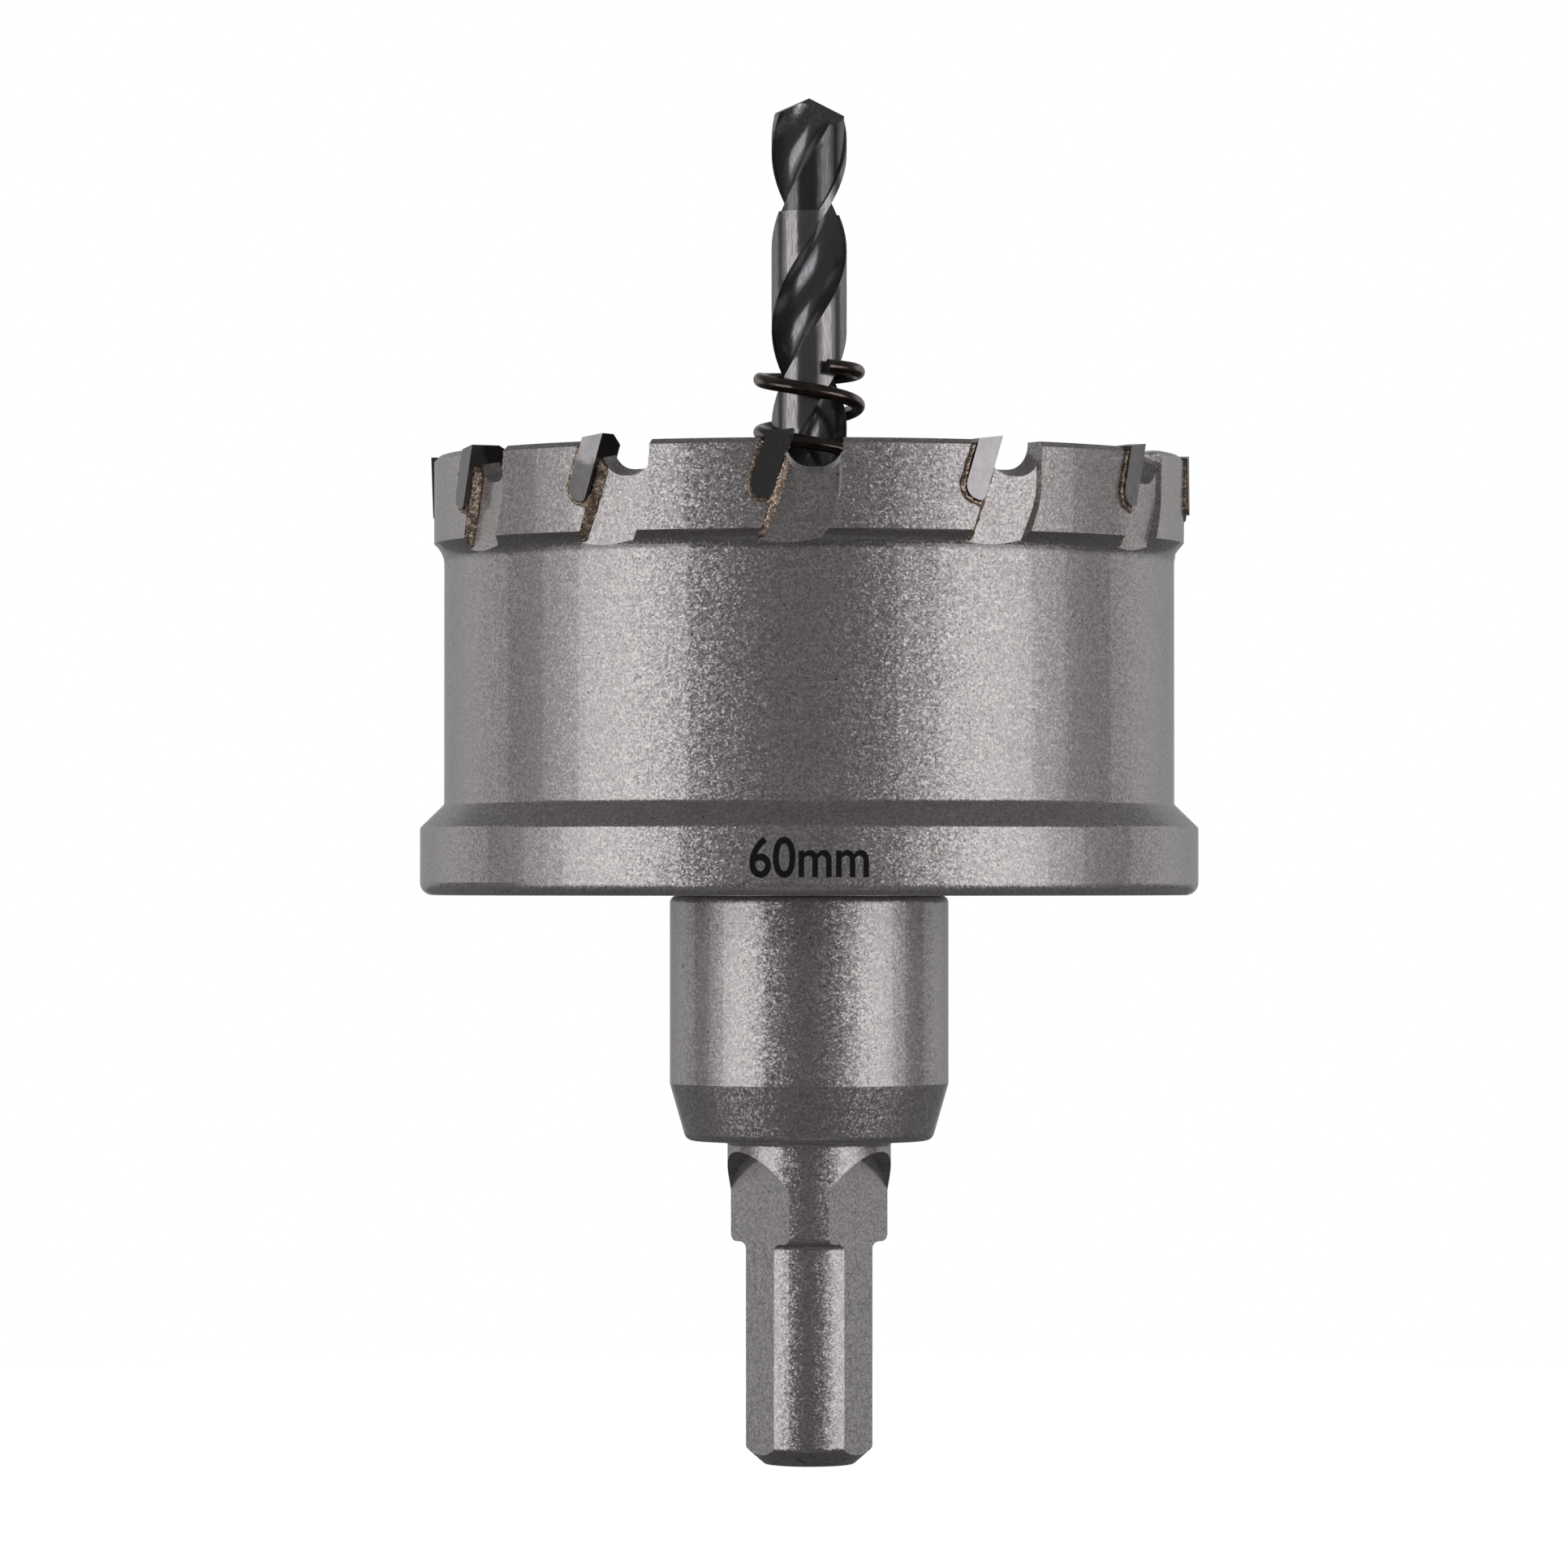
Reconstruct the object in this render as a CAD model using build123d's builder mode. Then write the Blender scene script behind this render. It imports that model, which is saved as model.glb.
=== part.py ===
from build123d import *
from math import acos, cos, degrees, radians, sin, sqrt, tan
import os

# A carbide-tipped hole saw on its own arbor. Lengths are in millimetres.
# The origin is the centre of the shank's end face, +Z runs up the axis to the
# drill's point, and the front of the saw faces -Y.

# Chuck shank, with three flats for the jaws
shank_diameter = 10.0
shank_length = 17.5
shank_end_bevel_height = 1.3
shank_end_bevel_depth = 1.5
shank_end_round = 0.5
flat_distance = 4.475
flat_cutter_diameter = 10.0
flat_top_height = 24.7
flat_angles = (-150.0, -30.0, 90.0)

# Collar and hub of the arbor
collar_diameter = 12.9
collar_length = 8.0
collar_inner_round = 0.5
collar_outer_round = 0.6
collar_top_round = 0.4
hub_diameter = 22.0
hub_length = 14.85
hub_cone_length = 4.5
hub_cone_depth = 1.29
hub_cone_round = 0.75
hub_top_round = 0.6
spigot_diameter = 16.0
spigot_clearance = 0.05

# Cup: rim band, wall and flange, each set from the circle that the tips cut
cutting_diameter = 60.0
tip_overhang = 0.4
rim_step = 0.8
cup_wall_thickness = 1.4
flange_overhang = 0.7
flange_edge_height = 5.3
flange_bottom_round = 1.0
flange_edge_round = 0.3
flange_slope_height = 1.85
cup_floor_thickness = 6.0
cup_floor_round = 1.5
wall_length = 18.9
rim_underside_radius = 2.0
rim_band_height = 6.85
rim_top_bevel = 0.4

# Teeth round the rim, a little uneven in angle and height, with three grinds that repeat
tooth_count = 12
tooth_offsets = (-2.7, -0.9, -0.3, -1.2, -1.6, -1.9, -1.2, -0.6, -1.0, -3.2, -0.1, -1.75)
tip_heights = (0.65, 0.28, 0.3, 0.12, 0.6, 0.28, 0.45, 0.12, 0.6, 0.18, 0.25, 0.52)
tip_radial_width = 2.85
tip_thickness = 1.8
tip_lean = 18.0
tip_seat_depth = 5.0
tip_side_relief = 5.5
tip_top_relief = 7.0
tip_back_round = 1.1
tip_front_round = 0.5
tip_bevel_widths = (0.0, 0.5, 1.3)
tip_bevel_heights = (0.0, 0.25, 0.75)

# Braze between each tip and its seat, and along the wall of its chip pocket
braze_gap = 0.35
braze_proud = 0.08
braze_strip_width = 0.7
braze_strip_recess = 0.05

# Gullet through the rim and chip pocket on its outside, ahead of each tip
gullet_width = 3.95
gullet_depth = 2.95
gullet_round = 1.9
gullet_floor_rise = 20.0
pocket_depth = 0.72
pocket_floor_tilt = 1.0
pocket_right_edge = 3.65
pocket_bend_depth = 4.3
pocket_bend_round = 6.0
pocket_foot_depth = 7.95
pocket_foot_edge = 2.1
pocket_foot_round = 0.8
pocket_wall_slope = 30.0

# Pilot drill
drill_diameter = 5.95
drill_bore_clearance = 0.05
drill_seat_height = 29.86
drill_length = 78.0
drill_lead = 28.0
drill_web = 1.6
drill_flute_radius = 2.75
drill_land_front_height = 99.7
drill_flute_length = 38.0
drill_flute_runout = 4.0
drill_step_length = 9.1
drill_margin_width = 0.7
drill_body_clearance = 0.2
drill_lip_facet_turn = 23.0
drill_lip_facet_slope = 24.2
drill_heel_turn = 65.0
drill_heel_slope = 27.5
drill_notch_turn = 116.0
drill_notch_slope = 40.0

# Grub screw in the back of the hub, on a flat ground on the drill
screw_diameter = 6.0
screw_bore_clearance = 0.05
screw_above_drill_seat = 8.14
screw_recess = 1.2
screw_end_bevel = 0.6
screw_socket_flats = 3.0
screw_socket_depth = 2.6
drill_flat_depth = 0.4
drill_flat_length = 8.0

# Ejector spring round the drill
spring_wire_diameter = 1.1
spring_mean_radius = 3.87
spring_turns = 8
spring_last_turn_height = 85.6
spring_closed_pitch = 1.2
spring_top_turn = 248.0
spring_ground_depth = 0.35
spring_end_direction = 180.0

# Radii and heights that follow from the sizes above
shank_radius = shank_diameter / 2
collar_radius = collar_diameter / 2
hub_radius = hub_diameter / 2
spigot_radius = spigot_diameter / 2
cutting_radius = cutting_diameter / 2
flange_radius = cutting_radius + flange_overhang
rim_radius = cutting_radius - tip_overhang
wall_radius = rim_radius - rim_step
cup_bore_radius = wall_radius - cup_wall_thickness
pocket_floor_distance = rim_radius - pocket_depth
drill_radius = drill_diameter / 2

hub_foot_height = shank_length + collar_length
hub_cone_top_height = hub_foot_height + hub_cone_length
flange_foot_height = hub_cone_top_height + hub_length
flange_edge_top_height = flange_foot_height + flange_edge_height
wall_foot_height = flange_edge_top_height + flange_slope_height
cup_floor_height = flange_foot_height + cup_floor_thickness
wall_top_height = wall_foot_height + wall_length
rim_underside_height = sqrt(rim_underside_radius**2 - (rim_underside_radius - rim_step) ** 2)
rim_foot_height = wall_top_height + rim_underside_height
rim_top_height = rim_foot_height + rim_band_height
drill_tip_height = drill_seat_height + drill_length
screw_height = drill_seat_height + screw_above_drill_seat

# Room left past a surface by a cut that runs out through it
overrun = 2.0

os.makedirs("parts", exist_ok=True)


# Angle of one tooth round the axis, from the front
def tooth_angle(number):
    return number * 360 / tooth_count + tooth_offsets[number % len(tooth_offsets)]


# Point of the front view, measured back from the rake face and down it from the rim's top
def tooth_point(back, down):
    lean = radians(tip_lean)
    across = -down * sin(lean) - back * cos(lean)
    height = rim_top_height - down * cos(lean) + back * sin(lean)
    return (across, height)


# Flats on the shank: each runs up into the collar and ends in the arch of a round cutter
def flat_plane(angle):
    outwards = Vector(cos(radians(angle)), sin(radians(angle)), 0)
    sideways = Vector(-sin(radians(angle)), cos(radians(angle)), 0)
    return Plane(origin=outwards * flat_distance, x_dir=sideways, z_dir=outwards)


flat_cutter_radius = flat_cutter_diameter / 2
flat_arch_centre = flat_top_height - flat_cutter_radius
screw_seat = drill_radius - drill_flat_depth
screw_bore_radius = screw_diameter / 2 + screw_bore_clearance
drill_bore_radius = drill_radius + drill_bore_clearance

with BuildPart() as arbor:
    with BuildSketch(Plane.XZ):
        with BuildLine():
            FilletPolyline(
                (0, 0),
                (shank_radius - shank_end_bevel_depth, 0),
                (shank_radius, shank_end_bevel_height),
                (shank_radius, shank_length),
                (collar_radius, shank_length),
                (collar_radius, hub_foot_height),
                (hub_radius - hub_cone_depth, hub_foot_height),
                (hub_radius, hub_cone_top_height),
                (hub_radius, flange_foot_height),
                (spigot_radius, flange_foot_height),
                (spigot_radius, cup_floor_height),
                (0, cup_floor_height),
                radius=[
                    0,
                    shank_end_round,
                    shank_end_round,
                    collar_inner_round,
                    collar_outer_round,
                    collar_top_round,
                    hub_cone_round,
                    0,
                    hub_top_round,
                    0,
                    0,
                    0,
                ],
                close=True,
            )
        make_face()
    revolve(axis=Axis.Z)
    for angle in flat_angles:
        with BuildSketch(flat_plane(angle)):
            with Locations((0, flat_arch_centre)):
                Circle(flat_cutter_radius)
            with Locations((0, flat_arch_centre)):
                Rectangle(
                    flat_cutter_diameter,
                    flat_arch_centre + overrun,
                    align=(Align.CENTER, Align.MAX),
                )
        extrude(amount=collar_radius, mode=Mode.SUBTRACT)
    with BuildSketch(Plane.XY.offset(drill_seat_height)):
        Circle(drill_bore_radius)
    extrude(amount=cup_floor_height, mode=Mode.SUBTRACT)
    with BuildSketch(Plane.XZ):
        with Locations((0, screw_height)):
            Circle(screw_bore_radius)
    extrude(amount=-hub_diameter, mode=Mode.SUBTRACT)
arbor.part.label = "arbor"
export_step(arbor.part, "parts/arbor.step")


# Turned blank of the cup, before its teeth are cut
with BuildPart() as cup_blank:
    with BuildSketch(Plane.XZ):
        with BuildLine():
            FilletPolyline(
                (spigot_radius + spigot_clearance, flange_foot_height),
                (flange_radius, flange_foot_height),
                (flange_radius, flange_edge_top_height),
                (wall_radius, wall_foot_height),
                (wall_radius, wall_top_height),
                radius=[flange_bottom_round, flange_edge_round, flange_edge_round],
            )
            RadiusArc(
                (wall_radius, wall_top_height),
                (rim_radius, rim_foot_height),
                rim_underside_radius,
            )
            FilletPolyline(
                (rim_radius, rim_foot_height),
                (rim_radius, rim_top_height - rim_top_bevel),
                (rim_radius - rim_top_bevel, rim_top_height),
                (cup_bore_radius, rim_top_height),
                (cup_bore_radius, cup_floor_height),
                (spigot_radius + spigot_clearance, cup_floor_height),
                (spigot_radius + spigot_clearance, flange_foot_height),
                radius=[0, 0, 0, cup_floor_round, 0],
            )
        make_face()
    revolve(axis=Axis.Z)


# Outline of a tip's seat in the rim, seen from outside
def seat_outline():
    with BuildLine() as outline:
        FilletPolyline(
            tooth_point(0, -overrun),
            tooth_point(0, tip_seat_depth + braze_gap),
            tooth_point(tip_thickness + braze_gap, tip_seat_depth + braze_gap),
            tooth_point(tip_thickness + braze_gap, -overrun),
            radius=[0, 0, tip_back_round + braze_gap, 0],
            close=True,
        )
    return outline.line


# Gullet: a slot with a round bottom, ahead of the rake face, rising towards the inside
with BuildPart() as gullet_cutter:
    gullet_plane_distance = rim_radius + overrun
    gullet_drop = overrun * tan(radians(gullet_floor_rise))
    gullet_foot = rim_top_height - gullet_depth - gullet_drop
    gullet_down = (gullet_depth + gullet_drop) / cos(radians(tip_lean))
    with BuildSketch(Plane.XZ.offset(gullet_plane_distance)):
        with BuildLine():
            FilletPolyline(
                tooth_point(0, -overrun),
                tooth_point(0, gullet_down),
                (gullet_width, gullet_foot),
                (gullet_width, rim_top_height + overrun),
                radius=[0, gullet_round, gullet_round, 0],
                close=True,
            )
        make_face()
    inwards = Vector(0, cos(radians(gullet_floor_rise)), sin(radians(gullet_floor_rise)))
    extrude(amount=gullet_plane_distance - cup_bore_radius + 2 * overrun, dir=inwards)

# Floor of the chip pocket, a little deeper at the tooth
tilt = radians(pocket_floor_tilt)
pocket_floor = Plane(
    origin=(0, -pocket_floor_distance, 0),
    x_dir=(cos(tilt), -sin(tilt), 0),
    z_dir=(-sin(tilt), -cos(tilt), 0),
)
pocket_foot_height = rim_top_height - pocket_foot_depth
pocket_bend_height = rim_top_height - pocket_bend_depth
pocket_foot_down = pocket_foot_depth / cos(radians(tip_lean))

with BuildPart() as pocket_cutter:
    with BuildSketch(Plane.XZ.offset(cup_bore_radius)):
        with BuildLine():
            FilletPolyline(
                tooth_point(0, -overrun),
                tooth_point(0, pocket_foot_down),
                (pocket_foot_edge, pocket_foot_height),
                (pocket_right_edge, pocket_bend_height),
                (pocket_right_edge, rim_top_height + overrun),
                radius=[0, 0, pocket_foot_round, pocket_bend_round, 0],
                close=True,
            )
        make_face()
    extrude(amount=cutting_radius - cup_bore_radius + overrun)
    split(bisect_by=pocket_floor, keep=Keep.TOP)

# Sloped far wall of the chip pocket
with BuildPart() as pocket_slope_cutter:
    with BuildSketch(pocket_floor):
        with BuildLine():
            FilletPolyline(
                (pocket_foot_edge / 2, rim_top_height + overrun),
                (pocket_foot_edge / 2, pocket_foot_height),
                (pocket_foot_edge, pocket_foot_height),
                (pocket_right_edge, pocket_bend_height),
                (pocket_right_edge, rim_top_height + overrun),
                radius=[0, 0, pocket_foot_round, pocket_bend_round, 0],
                close=True,
            )
        make_face()
    extrude(amount=rim_radius - wall_radius, taper=-pocket_wall_slope)

with BuildPart() as tooth_cutter:
    with BuildSketch(Plane.XZ.offset(cup_bore_radius - overrun)):
        add(seat_outline())
        make_face()
    extrude(amount=cutting_radius - cup_bore_radius + 2 * overrun)
    add(gullet_cutter.part)
    add(pocket_cutter.part)
    add(pocket_slope_cutter.part)

with BuildPart() as cup:
    add(cup_blank.part)
    for number in range(tooth_count):
        add(tooth_cutter.part.rotate(Axis.Z, tooth_angle(number)), mode=Mode.SUBTRACT)
cup.part.label = "cup"
export_step(cup.part, "parts/cup.step")


# Outline of a tip in the front view, with its top falling away behind the rake face
def tip_outline(height):
    top = radians(tip_top_relief)
    top_length = tip_thickness / cos(top + radians(tip_lean))
    rake_top = tooth_point(0, -height / cos(radians(tip_lean)))
    back_top = (rake_top[0] - top_length * cos(top), rake_top[1] - top_length * sin(top))
    with BuildLine() as outline:
        FilletPolyline(
            rake_top,
            tooth_point(0, tip_seat_depth),
            tooth_point(tip_thickness, tip_seat_depth),
            back_top,
            radius=[0, tip_front_round, tip_back_round, 0],
            close=True,
        )
    return outline.line


# Carbide tip: the outline, narrowed behind the rake face, with its inner top corner ground off
def carbide_tip(height, bevel_width, bevel_height):
    tip_inner_radius = cutting_radius - tip_radial_width
    foot = tooth_point(0, tip_seat_depth + overrun)
    thickness_across = tip_thickness / cos(radians(tip_lean)) + overrun
    relief = thickness_across * tan(radians(tip_side_relief))
    rake_direction = Vector(sin(radians(tip_lean)), 0, cos(radians(tip_lean)))
    top = rim_top_height + height
    with BuildPart() as tip:
        with BuildSketch(Plane.XZ.offset(tip_inner_radius)):
            add(tip_outline(height))
            make_face()
        extrude(amount=tip_radial_width)
        with BuildSketch(Plane.XY.offset(foot[1])):
            with BuildLine():
                Polyline(
                    (foot[0], -cutting_radius),
                    (foot[0], -tip_inner_radius),
                    (foot[0] - thickness_across, -tip_inner_radius - relief),
                    (foot[0] - thickness_across, -cutting_radius + relief),
                    close=True,
                )
            make_face()
        extrude(amount=tip_seat_depth + 3 * overrun, dir=rake_direction, mode=Mode.INTERSECT)
        if bevel_width > 0:
            slope = bevel_height / bevel_width
            with BuildSketch(Plane.YZ.offset(-cutting_radius)):
                with BuildLine():
                    Polyline(
                        (-tip_inner_radius - bevel_width, top),
                        (-tip_inner_radius - bevel_width, top + overrun),
                        (-tip_inner_radius + overrun, top + overrun),
                        (-tip_inner_radius + overrun, top - slope * (bevel_width + overrun)),
                        close=True,
                    )
                make_face()
            extrude(amount=cutting_diameter, mode=Mode.SUBTRACT)
    return tip.part


# Braze: a film behind and under the tip, and a fillet down the wall of the chip pocket
def braze_bead():
    lean = radians(tip_lean)
    strip_top = rim_radius - braze_strip_recess
    strip_depth = strip_top - pocket_floor_distance
    down_rake = Vector(-sin(lean), 0, -cos(lean))
    into_pocket = Vector(braze_strip_width, strip_depth, 0)
    strip_edge = tooth_point(0, 0)
    strip_face = Plane(
        origin=(strip_edge[0], -strip_top, strip_edge[1]),
        x_dir=down_rake,
        z_dir=down_rake.cross(into_pocket),
    )
    with BuildPart() as strip:
        with BuildSketch(Plane.XZ.offset(cup_bore_radius)):
            with BuildLine():
                Polyline(
                    tooth_point(0, 0),
                    tooth_point(0, pocket_foot_down),
                    tooth_point(-2 * braze_strip_width, pocket_foot_down),
                    tooth_point(-2 * braze_strip_width, 0),
                    close=True,
                )
            make_face()
        extrude(amount=rim_radius - cup_bore_radius)
        split(bisect_by=pocket_floor, keep=Keep.TOP)
        split(bisect_by=strip_face, keep=Keep.BOTTOM)
        add(cup_blank.part, mode=Mode.INTERSECT)
        add(gullet_cutter.part, mode=Mode.SUBTRACT)
    with BuildPart() as bead:
        with BuildSketch(Plane.XZ.offset(cup_bore_radius)):
            add(seat_outline())
            make_face()
            with BuildSketch(mode=Mode.SUBTRACT):
                add(tip_outline(overrun))
                make_face()
            with Locations((0, rim_top_height - rim_top_bevel)):
                Rectangle(
                    cutting_radius,
                    rim_band_height,
                    align=(Align.CENTER, Align.MAX),
                    mode=Mode.INTERSECT,
                )
        extrude(amount=rim_radius + braze_proud - cup_bore_radius)
        add(strip.part)
    return bead.part


bead = braze_bead()
for number in range(tooth_count):
    grind = number % len(tip_bevel_widths)
    height = tip_heights[number % len(tip_heights)]
    tip = carbide_tip(height, tip_bevel_widths[grind], tip_bevel_heights[grind])
    tip = tip.rotate(Axis.Z, tooth_angle(number))
    tip.label = f"carbide_tip_{number + 1:02d}"
    export_step(tip, f"parts/{tip.label}.step")
    braze = bead.rotate(Axis.Z, tooth_angle(number))
    braze.label = f"braze_{number + 1:02d}"
    export_step(braze, f"parts/{braze.label}.step")


# Direction of the middle of one land, which turns to the right as it rises
def land_direction(height):
    return 360 * (height - drill_land_front_height) / drill_lead - 90


drill_flute_distance = drill_flute_radius + drill_web / 2
drill_flute_side = (drill_flute_distance**2 + drill_radius**2 - drill_flute_radius**2) / (
    2 * drill_flute_distance * drill_radius
)
drill_leading_edge = 90 - degrees(acos(drill_flute_side))
drill_flute_foot_height = drill_tip_height - drill_flute_length
drill_step_height = drill_tip_height - drill_step_length


# Cross-section of the fluted drill: two lands on X and two flutes on Y, all turned with the height
def drill_section(height, body_radius):
    with BuildSketch(Plane.XY.offset(height).rotated((0, 0, land_direction(height)))) as section:
        Circle(body_radius)
        with PolarLocations(drill_radius, 2, start_angle=drill_leading_edge):
            Rectangle(drill_radius, 2 * drill_margin_width, align=(Align.MAX, Align.CENTER))
        Circle(drill_radius, mode=Mode.INTERSECT)
        with Locations((0, drill_flute_distance), (0, -drill_flute_distance)):
            Circle(drill_flute_radius, mode=Mode.SUBTRACT)
    return section.sketch.face()


# Twisted length of the drill between two heights
def twisted_length(foot, top, body_radius):
    return Solid.extrude_linear_with_rotation(
        drill_section(foot, body_radius),
        center=(0, 0, foot),
        normal=(0, 0, top - foot),
        angle=360 * (top - foot) / drill_lead,
    )


# Ground facet of the drill's point, falling from the tip in one direction
def point_facet(direction, slope):
    downhill = Vector(cos(radians(direction)), sin(radians(direction)), -tan(radians(slope)))
    level = Vector(-sin(radians(direction)), cos(radians(direction)), 0)
    return Plane(origin=(0, 0, drill_tip_height), x_dir=downhill, z_dir=downhill.cross(level))


drill_lip_direction = land_direction(drill_tip_height) + drill_leading_edge

with BuildPart() as pilot_drill:
    with BuildSketch(Plane.XY.offset(drill_seat_height)):
        Circle(drill_radius)
    extrude(amount=drill_flute_foot_height - drill_seat_height)
    with Locations((0, 0, drill_flute_foot_height)):
        Cone(
            drill_radius,
            drill_web / 2,
            drill_flute_runout,
            align=(Align.CENTER, Align.CENTER, Align.MIN),
        )
    add(twisted_length(drill_flute_foot_height, drill_step_height, drill_radius))
    add(
        twisted_length(
            drill_step_height,
            drill_tip_height,
            drill_radius - drill_body_clearance,
        )
    )
    for side in (0, 180):
        lip = drill_lip_direction + side
        split(bisect_by=point_facet(lip - drill_lip_facet_turn, drill_lip_facet_slope), keep=Keep.BOTTOM)
        split(bisect_by=point_facet(lip - drill_heel_turn, drill_heel_slope), keep=Keep.BOTTOM)
        split(bisect_by=point_facet(lip - drill_notch_turn, drill_notch_slope), keep=Keep.BOTTOM)
    with BuildSketch(Plane.XZ.offset(-screw_seat)):
        with Locations((0, screw_height)):
            Rectangle(drill_diameter, drill_flat_length)
    extrude(amount=-drill_radius, mode=Mode.SUBTRACT)
pilot_drill.part.label = "pilot_drill"
export_step(pilot_drill.part, "parts/pilot_drill.step")

screw_head = hub_radius - screw_recess
with BuildPart() as grub_screw:
    with BuildSketch(Plane.XZ.offset(-screw_head)):
        with Locations((0, screw_height)):
            Circle(screw_diameter / 2)
    extrude(amount=screw_head - screw_seat)
    chamfer(grub_screw.edges().filter_by(GeomType.CIRCLE), screw_end_bevel)
    with BuildSketch(Plane.XZ.offset(-screw_head)):
        with Locations((0, screw_height)):
            RegularPolygon(screw_socket_flats / 2, 6, major_radius=False)
    extrude(amount=screw_socket_depth, mode=Mode.SUBTRACT)
grub_screw.part.label = "grub_screw"
export_step(grub_screw.part, "parts/grub_screw.step")


# Ejector spring: left-hand coils, closed at both ends, with its foot ground flat
spring_foot_height = cup_floor_height + spring_wire_diameter / 2 - spring_ground_depth
spring_open_foot = spring_foot_height + spring_closed_pitch
spring_open_length = spring_last_turn_height - spring_open_foot
spring_coils = (
    (spring_foot_height, spring_closed_pitch, 1),
    (spring_open_foot, spring_open_length / spring_turns, spring_turns),
    (spring_last_turn_height, spring_closed_pitch, spring_top_turn / 360),
)

with BuildPart() as ejector_spring:
    for foot, pitch, turns in spring_coils:
        with BuildLine() as coil:
            Helix(pitch, pitch * turns, spring_mean_radius, center=(0, 0, foot), lefthand=True)
        with BuildSketch(Plane(origin=coil.line @ 0, z_dir=coil.line % 0)):
            Circle(spring_wire_diameter / 2)
        sweep(path=coil.line, is_frenet=True)
    for joint_height in (spring_open_foot, spring_last_turn_height):
        with Locations((spring_mean_radius, 0, joint_height)):
            Sphere(spring_wire_diameter / 2)
    split(bisect_by=Plane.XY.offset(cup_floor_height), keep=Keep.TOP)
spring = ejector_spring.part.rotate(Axis.Z, spring_end_direction)
spring.label = "ejector_spring"
export_step(spring, "parts/ejector_spring.step")
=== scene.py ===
from math import asin, atan, atan2, cos, hypot, pi, radians, sin, tan, tau

import bmesh
import bpy
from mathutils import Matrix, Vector


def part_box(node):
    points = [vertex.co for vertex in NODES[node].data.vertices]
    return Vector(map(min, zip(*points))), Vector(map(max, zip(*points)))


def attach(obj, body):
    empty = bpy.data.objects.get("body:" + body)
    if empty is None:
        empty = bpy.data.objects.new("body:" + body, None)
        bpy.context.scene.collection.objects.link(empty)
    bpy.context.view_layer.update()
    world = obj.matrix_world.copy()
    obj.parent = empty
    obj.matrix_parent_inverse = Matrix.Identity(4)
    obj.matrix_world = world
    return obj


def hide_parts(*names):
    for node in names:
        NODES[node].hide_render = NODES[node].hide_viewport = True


bl_info = {
    "name": "Hole Saw Finish",
    "version": (1, 0, 0),
    "blender": (4, 5, 0),
    "location": "View3D > Sidebar > Hole Saw",
    "description": "Finishes a carbide-tipped hole saw: its coated steel, carbide, braze, drill and spring",
    "category": "Object",
}

MM = 0.001
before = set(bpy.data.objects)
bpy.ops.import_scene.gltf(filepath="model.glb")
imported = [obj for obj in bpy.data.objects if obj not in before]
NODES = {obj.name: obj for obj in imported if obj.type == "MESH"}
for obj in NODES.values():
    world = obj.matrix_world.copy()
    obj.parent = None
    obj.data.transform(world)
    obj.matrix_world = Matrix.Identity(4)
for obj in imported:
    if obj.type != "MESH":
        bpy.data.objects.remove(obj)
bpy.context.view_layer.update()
TIP_NAMES = sorted(name for name in NODES if name.startswith("carbide_tip_"))
BRAZE_NAMES = sorted(name for name in NODES if name.startswith("braze_"))

# The flange is the widest part of the cup, and its front is where the size mark is printed
CUP_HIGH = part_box("cup")[1]
FLANGE_RADIUS = CUP_HIGH.x
RIM_TOP = CUP_HIGH.z
SHANK_RADIUS = 5 * MM
DRILL_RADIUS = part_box("pilot_drill")[1].x
DRILL_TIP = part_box("pilot_drill")[1].z

# Single marks: heat at the foot of one tip, a nick in the hub and a rubbed spot on a flat
STAINED_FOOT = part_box(TIP_NAMES[-1])[0]
NICK = (-9.87 * MM, -4.86 * MM, 39.3 * MM)
RUBBED = (-3.35 * MM, -3.15 * MM, 4.0 * MM)


def linear(hex_colour):
    """An sRGB hex colour as three linear values."""
    channels = []
    for start in (1, 3, 5):
        value = int(hex_colour[start:start + 2], 16) / 255
        channels.append(value / 12.92 if value <= 0.04045 else ((value + 0.055) / 1.055) ** 2.4)
    return tuple(channels)


def colour_property(name, hex_colour, description):
    return bpy.props.FloatVectorProperty(
        name=name, description=description, subtype="COLOR", size=3, min=0, max=1, default=linear(hex_colour)
    )


def length_property(name, millimetres, description):
    return bpy.props.FloatProperty(
        name=name,
        description=description,
        default=millimetres * MM,
        min=0.001 * MM,
        unit="LENGTH",
        precision=5,
    )


def level_property(name, level, description):
    return bpy.props.FloatProperty(name=name, description=description, default=level, min=0.0)


class HoleSawColours(bpy.types.PropertyGroup):
    coat: colour_property("Coat", "#b9b2b2", "Metallic grey coat of the cup and arbor")
    coat_dark: colour_property("Coat, darker flakes", "#7d7878", "Flakes of the coat that are darker")
    carbide: colour_property("Carbide", "#858284", "Ground tungsten carbide of the tips")
    braze: colour_property("Braze", "#d6c1af", "Clean tops of the braze grains")
    braze_dark: colour_property("Braze, in the gaps", "#5e4e44", "Dark gaps between the braze grains")
    drill_land: colour_property("Drill lands", "#858285", "Ground lands of the pilot drill")
    drill_flute: colour_property("Drill flutes", "#757376", "Black-oxide flutes of the pilot drill")
    spring: colour_property("Spring wire", "#54433b", "Oil-tempered wire of the ejector spring")
    screw: colour_property("Grub screw", "#2c2b2d", "Black-oxide steel of the grub screw")
    ink: colour_property("Size mark", "#0f0d0e", "Ink of the size mark")


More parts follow.
